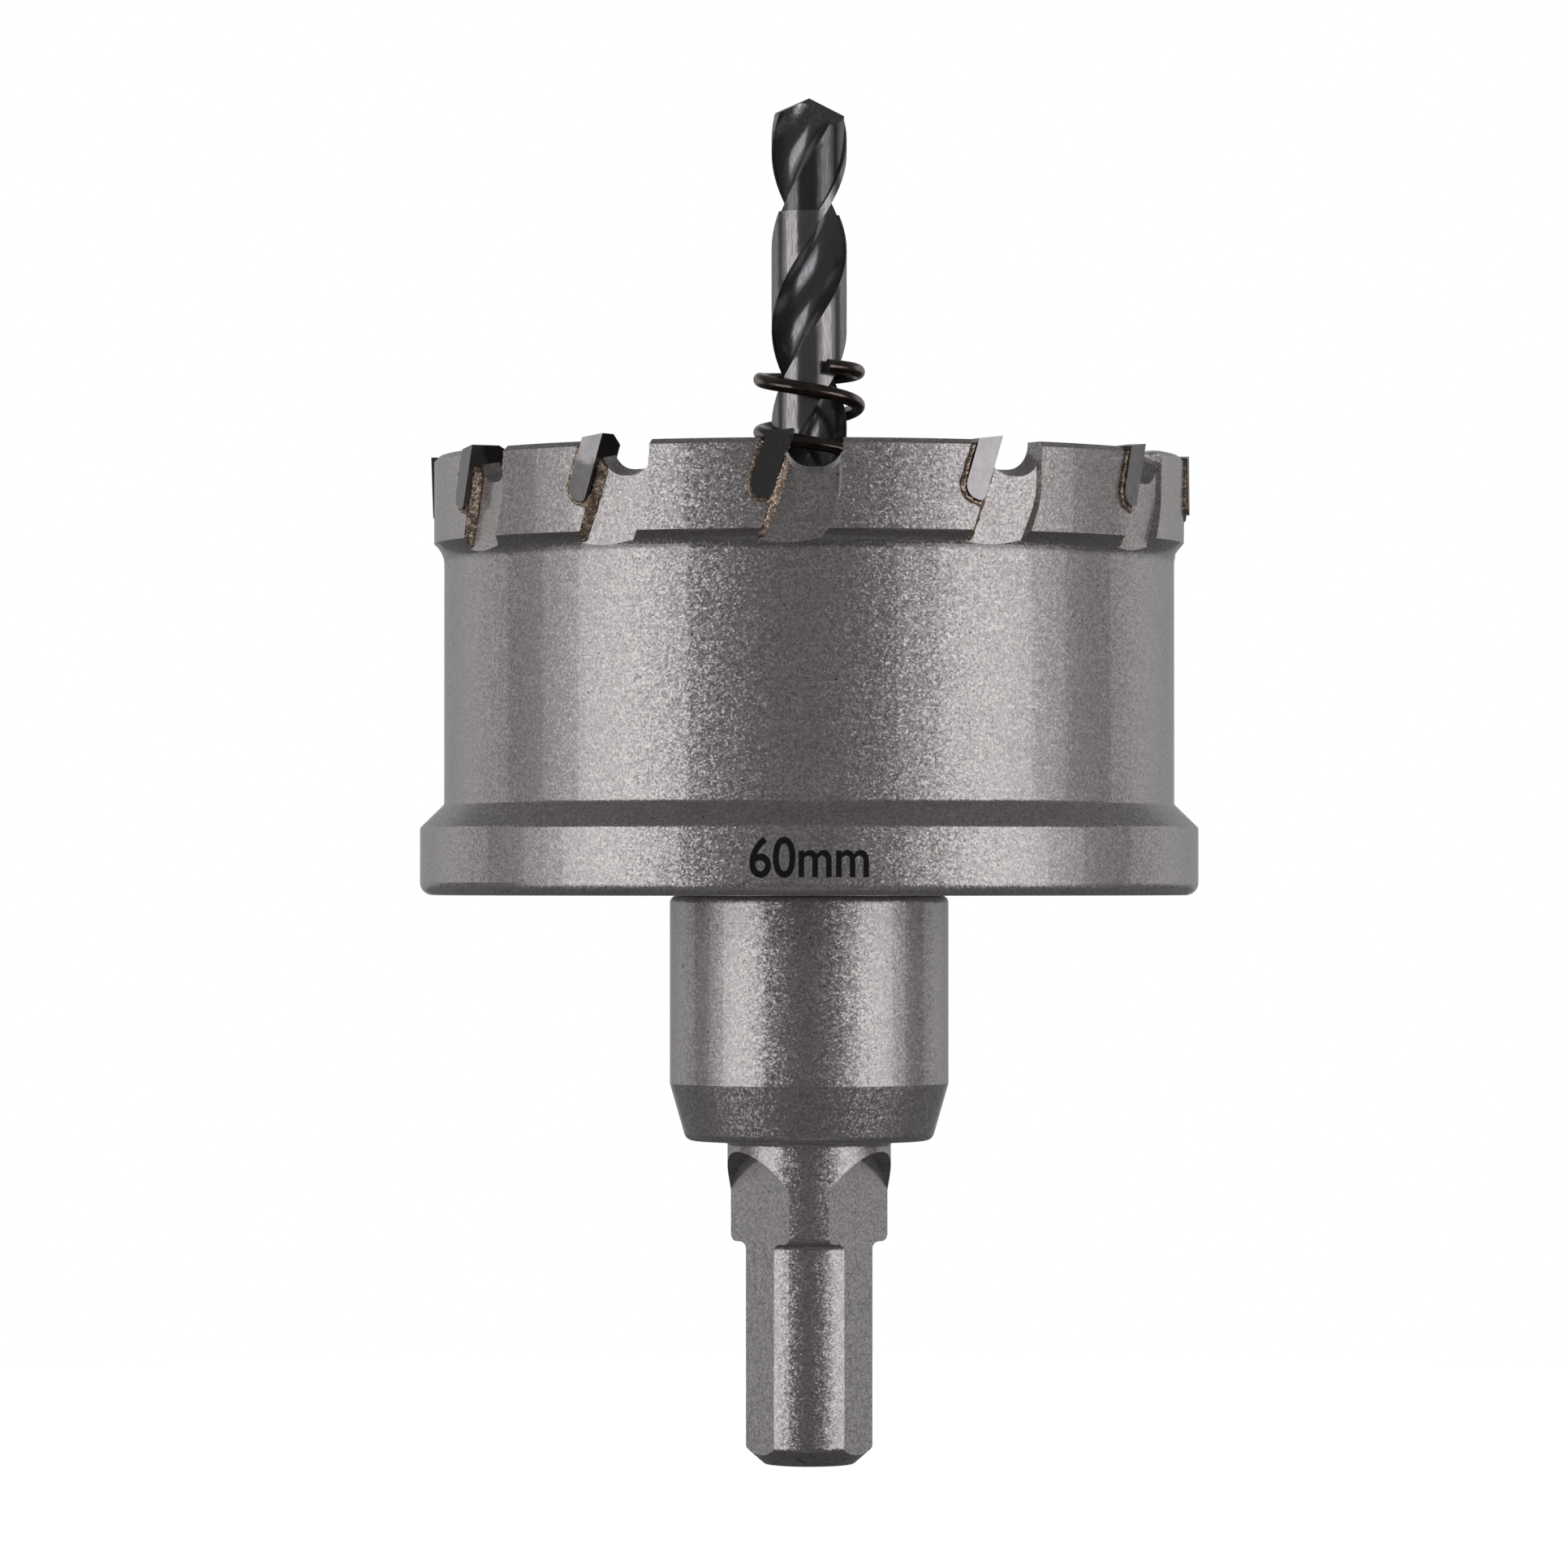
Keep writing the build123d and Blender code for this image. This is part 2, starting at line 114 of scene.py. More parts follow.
class HoleSawSizes(bpy.types.PropertyGroup):
    flake: length_property("Flake", 0.13, "Size of one sparkling flake of the coat")
    turning: length_property("Turning lines", 0.26, "Spacing of the lathe's lines under the coat")
    grain: length_property("Braze grain", 0.36, "Diameter of the largest lump of braze")
    grain_count: bpy.props.FloatProperty(
        name="Braze lumps", description="Lumps of braze on each square millimetre", default=10.0, min=0.0
    )
    grain_flatness: bpy.props.FloatProperty(
        name="Braze flatness",
        description="Height of a lump of braze, as a share of its width",
        default=0.4,
        min=0.1,
    )
    tooth_lean: bpy.props.FloatProperty(
        name="Tooth lean",
        description="Lean of the teeth and of the braze strips below them",
        default=radians(18),
        subtype="ANGLE",
    )
    strip_root: length_property("Strip root", 1.3, "From the front face of a tooth to its braze strip")
    strip_start: length_property("Strip start", 4.5, "Depth below the rim where the strips start to narrow")
    strip_end: length_property("Strip end", 8.4, "Depth below the rim where the braze strips end")
    strip_narrowing: bpy.props.FloatProperty(
        name="Strip narrowing",
        description="Share of its width that a braze strip loses at its end",
        default=0.4,
        min=0.0,
        max=1.0,
    )
    braze_detail: length_property("Braze detail", 0.1, "Size of the smallest form kept in the braze")
    seed: bpy.props.IntProperty(
        name="Seed", description="Fixes where the lumps of braze lie", default=7, min=0
    )
    mark_text: bpy.props.StringProperty(
        name="Mark", description="Plain size mark on the flange", default="60mm"
    )
    mark_height: length_property("Mark height", 3.0, "Height of the size mark's digits")
    mark_width: length_property("Mark width", 9.0, "Width of the whole size mark")
    mark_level: length_property("Mark level", 46.3, "Height of the size mark's foot above the shank's end")
    mark_thickness: length_property("Ink thickness", 0.004, "Thickness of the printed ink")


class HoleSawStudio(bpy.types.PropertyGroup):
    camera_distance: length_property("Camera distance", 600.0, "From the saw's axis to the camera")
    camera_height: length_property("Camera height", 46.0, "Above the shank's end")
    axis_scale: bpy.props.FloatProperty(
        name="Scale",
        description="Pixels of the photograph to a millimetre at the axis",
        default=15.6,
        min=1.0,
    )
    axis_pixel: bpy.props.FloatProperty(
        name="Axis pixel",
        description="Where the axis stands in the photograph, from its left edge",
        default=997.0,
    )
    level_pixel: bpy.props.FloatProperty(
        name="Level pixel",
        description="Where the camera's level lies in the photograph, from its top",
        default=1085.0,
    )
    left_level: level_property("Left softbox", 2.2, "Its brightness, where white paper is 1")
    right_level: level_property("Right softbox", 2.2, "Its brightness, where white paper is 1")
    room: level_property("Room", 0.12, "Brightness of the room in front and below, in reflections")
    table: level_property("Table", 0.36, "Brightness of the table below in steep reflections")
    fill: level_property("Fill", 0.34, "Light from the front on dull surfaces")
    back_fill: level_property("Back fill", 1.9, "Light from the pale paper behind on dull surfaces")
    top_fill: level_property("Top fill", 0.65, "Light from above on dull surfaces")
    backdrop: level_property("Backdrop", 0.66, "Brightness of the paper behind the saw, in reflections")


def add_node(tree, kind, inputs=None, **settings):
    """Adds a node. An input is a value or another node's output socket, by the socket's name or number."""
    node = tree.nodes.new(kind)
    for name, value in settings.items():
        setattr(node, name, value)
    for key, value in (inputs or {}).items():
        if isinstance(value, bpy.types.NodeSocket):
            tree.links.new(value, node.inputs[key])
        else:
            node.inputs[key].default_value = value
    return node


def new_material(name, **shader_values):
    """A material with one Principled shader. Uniform values go on the shader's own sockets."""
    material = bpy.data.materials.new(name)
    material.use_nodes = True
    tree = material.node_tree
    tree.nodes.clear()
    shader = add_node(tree, "ShaderNodeBsdfPrincipled")
    for key, value in shader_values.items():
        shader.inputs[key.replace("_", " ")].default_value = value
    add_node(tree, "ShaderNodeOutputMaterial", {"Surface": shader.outputs["BSDF"]})
    place = add_node(tree, "ShaderNodeTexCoord").outputs["Object"]
    return material, tree, shader, place


def mix_colours(tree, factor, first, second):
    """One colour laid over another by a factor."""
    colours = [value if isinstance(value, bpy.types.NodeSocket) else (*value, 1) for value in (first, second)]
    # A Mix node repeats its sockets' names for each kind of value, so the colour ones are taken by number
    mix = add_node(tree, "ShaderNodeMix", {0: factor, 6: colours[0], 7: colours[1]}, data_type="RGBA")
    return mix.outputs[2]


def at_brightness(colour, share):
    """A colour at a share of its own brightness."""
    return [share * value for value in colour]


def band(tree, value, low, high, low_out=0.0, high_out=1.0):
    """A smooth change from one value to another while the input goes from low to high."""
    ramp = add_node(
        tree,
        "ShaderNodeMapRange",
        {"Value": value, "From Min": low, "From Max": high, "To Min": low_out, "To Max": high_out},
        interpolation_type="SMOOTHSTEP",
    )
    return ramp.outputs["Result"]


def product(tree, first, second):
    """One mask limited by another, or weakened to a share."""
    return add_node(tree, "ShaderNodeMath", {0: first, 1: second}, operation="MULTIPLY").outputs[0]


def radius_and_height(tree, place):
    """The distance from the axis and the height, for marks that keep to one part of a turned piece."""
    x, y, z = add_node(tree, "ShaderNodeSeparateXYZ", {"Vector": place}).outputs
    flat = add_node(tree, "ShaderNodeCombineXYZ", {"X": x, "Y": y})
    radius = add_node(tree, "ShaderNodeVectorMath", {0: flat.outputs[0]}, operation="LENGTH").outputs["Value"]
    return radius, z


def specks(tree, place, spacing, size, share):
    """Small round marks: 1 in a mark and 0 elsewhere, on a share of the cells of a given spacing."""
    cells = add_node(tree, "ShaderNodeTexVoronoi", {"Vector": place, "Scale": 1 / spacing})
    chosen = add_node(tree, "ShaderNodeSeparateColor", {"Color": cells.outputs["Color"]}).outputs["Red"]
    near = band(tree, cells.outputs["Distance"], 0.5 * size / spacing, size / spacing, 1.0, 0.0)
    return product(tree, near, band(tree, chosen, share, share + 0.01, 1.0, 0.0))


def hairs(tree, place, spacing, width, share):
    """Fine curved scratches: 1 on a scratch and 0 elsewhere, on a share of the surface."""
    bends_per_cell, patches_per_cell = 0.6, 2.4
    bend_reach = spacing * 1.6
    patch_edge = (0.62 - share, 0.66 - share)
    bend = add_node(
        tree, "ShaderNodeTexNoise", {"Vector": place, "Scale": bends_per_cell / spacing, "Detail": 1.0}
    )
    shift = add_node(tree, "ShaderNodeVectorMath", {0: bend.outputs["Color"], 3: bend_reach}, operation="SCALE")
    bent = add_node(tree, "ShaderNodeVectorMath", {0: place, 1: shift.outputs[0]}, operation="ADD")
    lines = add_node(
        tree,
        "ShaderNodeTexVoronoi",
        {"Vector": bent.outputs[0], "Scale": 1 / spacing},
        feature="DISTANCE_TO_EDGE",
    )
    line = band(tree, lines.outputs["Distance"], 0.0, width / spacing, 1.0, 0.0)
    patches = add_node(
        tree, "ShaderNodeTexNoise", {"Vector": place, "Scale": patches_per_cell / spacing, "Detail": 0.0}
    )
    return product(tree, line, band(tree, patches.outputs["Fac"], *patch_edge))


def coated_steel(colours, sizes):
    """Turned steel under a baked metallic coat with a clear gloss.

    The flakes lie at slightly different angles, so they sparkle inside the reflections of the lamps,
    while the clear coat above them mirrors the pale backdrop evenly towards the edges. Faces that look
    down carry painted shade, a darker colour, most of all under the rim. Small scratches lie on
    the milled flats.
    """
    pit_colour, bare_colour = linear("#2c292a"), linear("#e4e0e2")
    scratch_colour, underside_shade_colour = linear("#3b3739"), linear("#3a3638")
    nick_edge, rubbed_edge = (0.14 * MM, 0.24 * MM), (1.0 * MM, 1.3 * MM)
    flats_edge = (SHANK_RADIUS - 0.08 * MM, SHANK_RADIUS - 0.04 * MM)
    flats_top, rim_underside = (25.2 * MM, 25.5 * MM), (60 * MM, 62 * MM)
    flake_tilt, peel_size = 0.28, 0.45 * MM
    line_relief, peel_relief, pit_relief, relief_height = 9.0, 2.2, -4.0, 0.002 * MM
    material, tree, shader, place = new_material(
        "coated_steel_baked_metallic",
        Metallic=0.76,
        Roughness=0.35,
        Coat_Weight=1.0,
        Coat_Roughness=0.045,
        Coat_IOR=1.5,
    )
    flakes = add_node(tree, "ShaderNodeTexVoronoi", {"Vector": place, "Scale": 1 / sizes.flake})
    flake = add_node(tree, "ShaderNodeSeparateColor", {"Color": flakes.outputs["Color"]}).outputs["Green"]
    base = mix_colours(tree, flake, colours.coat_dark, colours.coat)
    # Noise drawn out across the axis shows as the lathe's level lines
    turned = add_node(tree, "ShaderNodeMapping", {"Vector": place, "Scale": (0.06, 0.06, 1.0)}).outputs[0]
    rings = add_node(tree, "ShaderNodeTexNoise", {"Vector": turned, "Scale": 1 / sizes.turning, "Detail": 1.0})
    rings = rings.outputs["Fac"]
    base = mix_colours(tree, band(tree, rings, 0.35, 0.65, 0.0, 0.3), base, at_brightness(colours.coat, 0.55))

    pits = specks(tree, place, spacing=1.0 * MM, size=0.12 * MM, share=0.22)
    nick = add_node(tree, "ShaderNodeVectorMath", {0: place, 1: NICK}, operation="DISTANCE").outputs["Value"]
    nick = band(tree, nick, *nick_edge, 1.0, 0.0)
    marks = add_node(tree, "ShaderNodeMath", {0: pits, 1: nick}, operation="MAXIMUM").outputs[0]
    worn = mix_colours(tree, product(tree, marks, 0.85), base, pit_colour)
    rubbed = add_node(tree, "ShaderNodeVectorMath", {0: place, 1: RUBBED}, operation="DISTANCE")
    chips = specks(tree, place, spacing=0.6 * MM, size=0.2 * MM, share=0.5)
    chips = product(tree, chips, band(tree, rubbed.outputs["Value"], *rubbed_edge, 0.5, 0.0))
    worn = mix_colours(tree, chips, worn, bare_colour)
    radius, height = radius_and_height(tree, place)
    on_flats = product(
        tree, band(tree, radius, *flats_edge, 1.0, 0.0), band(tree, height, *flats_top, 1.0, 0.0)
    )
    scratches = hairs(tree, place, spacing=2.4 * MM, width=0.09 * MM, share=0.095)
    scratches = product(tree, scratches, product(tree, on_flats, 0.8))
    worn = mix_colours(tree, scratches, worn, scratch_colour)
    outward = add_node(tree, "ShaderNodeNewGeometry").outputs["Normal"]
    upward = add_node(tree, "ShaderNodeSeparateXYZ", {"Vector": outward}).outputs["Z"]
    # Painted shade: faces that look down are darkened a little everywhere, and most of all above 62 mm, under
    # the rim
    thin_ink_and_painted_shade = band(tree, height, *rim_underside, 0.16, 0.62)
    thin_ink_and_painted_shade = product(tree, thin_ink_and_painted_shade, band(tree, upward, -0.2, -0.05, 1.0, 0.0))
    tree.links.new(mix_colours(tree, thin_ink_and_painted_shade, worn, underside_shade_colour), shader.inputs["Base Color"])

    tilt = add_node(
        tree, "ShaderNodeVectorMath", {0: flakes.outputs["Color"], 1: (0.5, 0.5, 0.5)}, operation="SUBTRACT"
    )
    tilt = add_node(tree, "ShaderNodeVectorMath", {0: tilt.outputs[0], 3: flake_tilt}, operation="SCALE")
    leaning = add_node(tree, "ShaderNodeVectorMath", {0: outward, 1: tilt.outputs[0]}, operation="ADD")
    leaning = add_node(tree, "ShaderNodeVectorMath", {0: leaning.outputs[0]}, operation="NORMALIZE")
    peel = add_node(tree, "ShaderNodeTexNoise", {"Vector": place, "Scale": 1 / peel_size, "Detail": 2.0})
    peel = product(tree, peel.outputs["Fac"], peel_relief)
    lines = product(tree, rings, line_relief)
    dents = product(tree, marks, pit_relief)
    relief = add_node(tree, "ShaderNodeMath", {0: lines, 1: peel}, operation="ADD").outputs[0]
    relief = add_node(tree, "ShaderNodeMath", {0: relief, 1: dents}, operation="ADD").outputs[0]
    under = add_node(
        tree,
        "ShaderNodeBump",
        {"Height": relief, "Normal": leaning.outputs[0], "Strength": 0.5, "Distance": relief_height},
    )
    over = add_node(tree, "ShaderNodeBump", {"Height": relief, "Strength": 0.6, "Distance": relief_height})
    tree.links.new(under.outputs[0], shader.inputs["Normal"])
    tree.links.new(over.outputs[0], shader.inputs["Coat Normal"])
    return material


def ground_carbide(colours):
    """Tungsten carbide, ground on a diamond wheel: a hard satin with fine parallel lines and tiny chips.

    The heat of the brazing has stained the foot of one tooth.
    """
    chip_colour, stain_colour = linear("#3a3739"), linear("#3d3b3d")
    line_spacing, patch_size = 0.06 * MM, 0.8 * MM
    cloud_size, cloud_reach, stain_edge = 0.7 * MM, 1.8 * MM, (4.0 * MM, 4.7 * MM)
    material, tree, shader, place = new_material("tungsten_carbide_ground", Metallic=1.0, Roughness=0.14)
    along = add_node(tree, "ShaderNodeMapping", {"Vector": place, "Scale": (1.0, 1.0, 0.12)}).outputs["Vector"]
    lines = add_node(tree, "ShaderNodeTexNoise", {"Vector": along, "Scale": 1 / line_spacing, "Detail": 2.0})
    lines = lines.outputs["Fac"]
    base = mix_colours(
        tree, band(tree, lines, 0.25, 0.75), at_brightness(colours.carbide, 0.82), colours.carbide
    )
    chips = specks(tree, place, spacing=0.9 * MM, size=0.07 * MM, share=0.45)
    chipped = mix_colours(tree, product(tree, chips, 0.8), base, chip_colour)
    foot = add_node(tree, "ShaderNodeVectorMath", {0: place, 1: STAINED_FOOT}, operation="DISTANCE")
    cloud = add_node(tree, "ShaderNodeTexNoise", {"Vector": place, "Scale": 1 / cloud_size, "Detail": 4.0})
    reach = add_node(
        tree,
        "ShaderNodeMath",
        {0: cloud.outputs["Fac"], 1: cloud_reach, 2: foot.outputs["Value"]},
        operation="MULTIPLY_ADD",
    )
    stain = band(tree, reach.outputs[0], *stain_edge, 0.72, 0.0)
    tree.links.new(mix_colours(tree, stain, chipped, stain_colour), shader.inputs["Base Color"])
    rough = add_node(tree, "ShaderNodeTexNoise", {"Vector": place, "Scale": 1 / patch_size, "Detail": 2.0})
    tree.links.new(band(tree, rough.outputs["Fac"], 0.3, 0.7, 0.1, 0.2), shader.inputs["Roughness"])
    bump = add_node(tree, "ShaderNodeBump", {"Height": lines, "Strength": 0.2, "Distance": 0.003 * MM})
    tree.links.new(bump.outputs[0], shader.inputs["Normal"])
    return material


def cast_braze(colours):
    """Silver-copper braze, melted in and left as it froze: granular, bright on top and dark in the gaps."""
    crystal_size, stain_size = 0.12 * MM, 0.5 * MM
    material, tree, shader, place = new_material("silver_braze_frozen", Metallic=0.85, Roughness=0.42)
    crystals = add_node(tree, "ShaderNodeTexVoronoi", {"Vector": place, "Scale": 1 / crystal_size})
    tone = add_node(tree, "ShaderNodeSeparateColor", {"Color": crystals.outputs["Color"]}).outputs["Red"]
    dull = mix_colours(tree, tone, colours.braze_dark, at_brightness(colours.braze, 0.55))
    clean = mix_colours(tree, band(tree, tone, 0.7, 0.9), dull, colours.braze)
    stain = add_node(tree, "ShaderNodeTexNoise", {"Vector": place, "Scale": 1 / stain_size, "Detail": 3.0})
    dark = band(tree, stain.outputs["Fac"], 0.45, 0.7, 0.0, 0.8)
    tree.links.new(mix_colours(tree, dark, clean, colours.braze_dark), shader.inputs["Base Color"])
    bump = add_node(
        tree,
        "ShaderNodeBump",
        {"Height": crystals.outputs["Distance"], "Strength": 0.45, "Distance": 0.02 * MM},
        invert=True,
    )
    tree.links.new(bump.outputs[0], shader.inputs["Normal"])
    return material


def drill_steel(colours):
    """High-speed steel with black oxide in the flutes, bright ground lands and a coarsely ground point with
    painted glints in its grit.
    """
    clearance_colour, streak_colour = linear("#2b2a2c"), linear("#242325")
    painted_glint_colour, chip_colour = linear("#a9a6a9"), linear("#121112")
    streak_spacing, grit_size, pit_relief = 0.09 * MM, 0.14 * MM, 3.0
    land_edge = (DRILL_RADIUS - 0.16 * MM, DRILL_RADIUS - 0.12 * MM)
    clearance_edge = (DRILL_RADIUS - 0.27 * MM, DRILL_RADIUS - 0.24 * MM)
    point_edge = (DRILL_RADIUS - 0.5 * MM, DRILL_RADIUS - 0.3 * MM)
    point_foot = (DRILL_TIP - 3.2 * MM, DRILL_TIP - 1.2 * MM)
    material, tree, shader, place = new_material("high_speed_steel_black_oxide", Metallic=0.85, Roughness=0.24)
    radius, height = radius_and_height(tree, place)
    along = add_node(tree, "ShaderNodeMapping", {"Vector": place, "Scale": (1.0, 1.0, 0.08)}).outputs["Vector"]
    grind = add_node(tree, "ShaderNodeTexNoise", {"Vector": along, "Scale": 1 / streak_spacing, "Detail": 3.0})
    grind = grind.outputs["Fac"]
    base = mix_colours(tree, band(tree, radius, *land_edge), colours.drill_flute, colours.drill_land)
    clearance = product(tree, band(tree, radius, *clearance_edge), band(tree, radius, *land_edge, 1.0, 0.0))
    base = mix_colours(tree, product(tree, clearance, 0.5), base, clearance_colour)
    streaks = product(tree, band(tree, grind, 0.3, 0.7), 0.35)
    base = mix_colours(tree, streaks, base, streak_colour)
    normal = add_node(tree, "ShaderNodeNewGeometry").outputs["Normal"]
    upward = add_node(tree, "ShaderNodeSeparateXYZ", {"Vector": normal}).outputs["Z"]
    point = product(tree, band(tree, upward, 0.5, 0.6, 1.0, 0.0), band(tree, height, *point_foot))
    point = product(tree, point, band(tree, radius, *point_edge, 1.0, 0.0))
    grit = add_node(tree, "ShaderNodeTexVoronoi", {"Vector": place, "Scale": 1 / grit_size})
    grit_tone = add_node(tree, "ShaderNodeSeparateColor", {"Color": grit.outputs["Color"]}).outputs["Blue"]
    # Painted glints: bright specks on the ground point, away from its heel, stand in for light catching the
    # grit
    sparkle = product(tree, point, band(tree, grit_tone, 0.72, 0.95, 0.0, 0.55))
    base = mix_colours(tree, sparkle, base, painted_glint_colour)
    chips = specks(tree, place, spacing=1.1 * MM, size=0.06 * MM, share=0.35)
    base = mix_colours(tree, product(tree, chips, 0.75), base, chip_colour)
    tree.links.new(base, shader.inputs["Base Color"])
    tree.links.new(band(tree, grind, 0.3, 0.7, 0.12, 0.26), shader.inputs["Roughness"])
    pits = product(tree, product(tree, point, grit_tone), pit_relief)
    relief = add_node(tree, "ShaderNodeMath", {0: grind, 1: pits}, operation="ADD").outputs[0]
    bump = add_node(tree, "ShaderNodeBump", {"Height": relief, "Strength": 0.25, "Distance": 0.006 * MM})
    tree.links.new(bump.outputs[0], shader.inputs["Normal"])
    return material


def tempered_wire(colours):
    """Oil-tempered spring wire: a burnt, blotched brown-black skin with an oily gloss."""
    blotch_size = 0.7 * MM
    material, tree, shader, place = new_material(
        "spring_wire_oil_tempered",
        Metallic=0.9,
        Roughness=0.22,
        Coat_Weight=1.0,
        Coat_Roughness=0.08,
        Coat_IOR=1.5,
    )
    cloud = add_node(tree, "ShaderNodeTexNoise", {"Vector": place, "Scale": 1 / blotch_size, "Detail": 4.0})
    cloud = cloud.outputs["Fac"]
    burnt = at_brightness(colours.spring, 0.35)
    base = mix_colours(tree, band(tree, cloud, 0.35, 0.7), burnt, colours.spring)
    tree.links.new(base, shader.inputs["Base Color"])
    bump = add_node(tree, "ShaderNodeBump", {"Height": cloud, "Strength": 0.3, "Distance": 0.02 * MM})
    tree.links.new(bump.outputs[0], shader.inputs["Normal"])
    return material


def black_oxide(colours):
    """Hardened screw steel with a thin black oxide: satin, faintly clouded, with bare metal on sharp edges."""
    bare_colour, cloud_size = linear("#8b898b"), 0.4 * MM
    material, tree, shader, place = new_material("alloy_steel_black_oxide", Metallic=1.0, Roughness=0.38)
    cloud = add_node(tree, "ShaderNodeTexNoise", {"Vector": place, "Scale": 1 / cloud_size, "Detail": 3.0})
    cloud = cloud.outputs["Fac"]
    base = mix_colours(tree, band(tree, cloud, 0.3, 0.7), colours.screw, at_brightness(colours.screw, 1.6))
    edge = add_node(tree, "ShaderNodeNewGeometry").outputs["Pointiness"]
    base = mix_colours(tree, band(tree, edge, 0.52, 0.6), base, bare_colour)
    tree.links.new(base, shader.inputs["Base Color"])
    bump = add_node(tree, "ShaderNodeBump", {"Height": cloud, "Strength": 0.3, "Distance": 0.01 * MM})
    tree.links.new(bump.outputs[0], shader.inputs["Normal"])
    return material


def printed_ink(colours):
    """Pad-printed ink: matt, nearly black, thinner in tiny spots where the coat shows."""
    coat_colour, spot_size = linear("#2b292a"), 0.15 * MM
    material, tree, shader, place = new_material("pad_printed_ink", Roughness=0.7, Specular_IOR_Level=0.2)
    cloud = add_node(tree, "ShaderNodeTexNoise", {"Vector": place, "Scale": 1 / spot_size, "Detail": 2.0})
    thin_ink_and_painted_shade = product(tree, band(tree, cloud.outputs["Fac"], 0.62, 0.72), 0.6)
    tree.links.new(mix_colours(tree, thin_ink_and_painted_shade, colours.ink, coat_colour), shader.inputs["Base Color"])
    return material


def give_finish(names, material):
    """The CAD nodes with these names get one material."""
    for name in names:
        node = NODES[name]
        node.data.materials.clear()
        node.data.materials.append(material)


def root_piece(piece):
    """A new piece rides on the part's one body."""
    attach(piece, "root")


def braze_lump_tree(material):
    """Strews round lumps over a surface and joins them to it."""
    tree = bpy.data.node_groups.new("Braze lumps", "GeometryNodeTree")
    sockets = (
        ("Surface", "Geometry"),
        ("Lump", "Float"),
        ("Flatness", "Float"),
        ("Density", "Float"),
        ("Seed", "Int"),
    )
    for name, kind in sockets:
        tree.interface.new_socket(name, in_out="INPUT", socket_type="NodeSocket" + kind)
    tree.interface.new_socket("Braze", in_out="OUTPUT", socket_type="NodeSocketGeometry")
    given = add_node(tree, "NodeGroupInput").outputs
    points = add_node(
        tree,
        "GeometryNodeDistributePointsOnFaces",
        {"Mesh": given["Surface"], "Density": given["Density"], "Seed": given["Seed"]},
    )
    lump = add_node(tree, "GeometryNodeMeshIcoSphere", {"Radius": 0.5, "Subdivisions": 2})
    flat = add_node(tree, "ShaderNodeCombineXYZ", {"X": 1.0, "Y": 1.0, "Z": given["Flatness"]})
    # Sockets 2 and 3 are the limits of a plain random number, and output 1 is the number
    smallest, largest = 0.4, 1.0
    size = add_node(
        tree,
        "FunctionNodeRandomValue",
        {2: smallest, 3: largest, "Seed": given["Seed"]},
        data_type="FLOAT",
    )
    scale = add_node(tree, "ShaderNodeMath", {0: size.outputs[1], 1: given["Lump"]}, operation="MULTIPLY")
    flattened = add_node(
        tree, "ShaderNodeVectorMath", {0: flat.outputs[0], 3: scale.outputs[0]}, operation="SCALE"
    )
    placed = add_node(
        tree,
        "GeometryNodeInstanceOnPoints",
        {
            "Points": points.outputs["Points"],
            "Instance": lump.outputs["Mesh"],
            "Rotation": points.outputs["Rotation"],
            "Scale": flattened.outputs[0],
        },
    )
    both = add_node(tree, "GeometryNodeJoinGeometry", {"Geometry": placed.outputs[0]})
    tree.links.new(given["Surface"], both.inputs["Geometry"])
    real = add_node(tree, "GeometryNodeRealizeInstances", {"Geometry": both.outputs[0]})
    coloured = add_node(tree, "GeometryNodeSetMaterial", {"Geometry": real.outputs[0], "Material": material})
    add_node(tree, "NodeGroupOutput", {"Braze": coloured.outputs[0]})
    return tree


def melted_mesh_from(piece, tree, values, melt_size):
    """Runs a node tree on a piece, melts the result together and keeps it as the piece's plain mesh."""
    modifier = piece.modifiers.new(tree.name, "NODES")
    modifier.node_group = tree
    for item in tree.interface.items_tree:
        if item.item_type == "SOCKET" and item.in_out == "INPUT" and item.name in values:
            modifier[item.identifier] = values[item.name]
    melt = piece.modifiers.new("Melt together", "REMESH")
    melt.mode = "VOXEL"
    melt.voxel_size = melt_size
    melt.use_smooth_shade = True
    ease = piece.modifiers.new("Ease", "SMOOTH")
    ease.factor = 0.5
    ease.iterations = 2
    evaluated = piece.evaluated_get(bpy.context.evaluated_depsgraph_get())
    made = bpy.data.meshes.new_from_object(evaluated)
    piece.modifiers.clear()
    piece.data = made
    return made


def joined_copy(names, name):
    """One new object with the merged meshes of several CAD nodes."""
    shape = bmesh.new()
    for source in names:
        shape.from_mesh(NODES[source].data)
    merge_distance = 0.0005 * MM
    bmesh.ops.remove_doubles(shape, verts=shape.verts, dist=merge_distance)
    mesh = bpy.data.meshes.new(name)
    shape.to_mesh(mesh)
    shape.free()
    piece = bpy.data.objects.new(name, mesh)
    bpy.context.collection.objects.link(piece)
    return piece


def tooth_turns():
    """The angle of each tooth round the axis, from the front, found from its tip."""
    turns = []
    for name in TIP_NAMES:
        low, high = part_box(name)
        middle = (low + high) / 2
        turns.append(atan2(middle.x, -middle.y))
    return turns


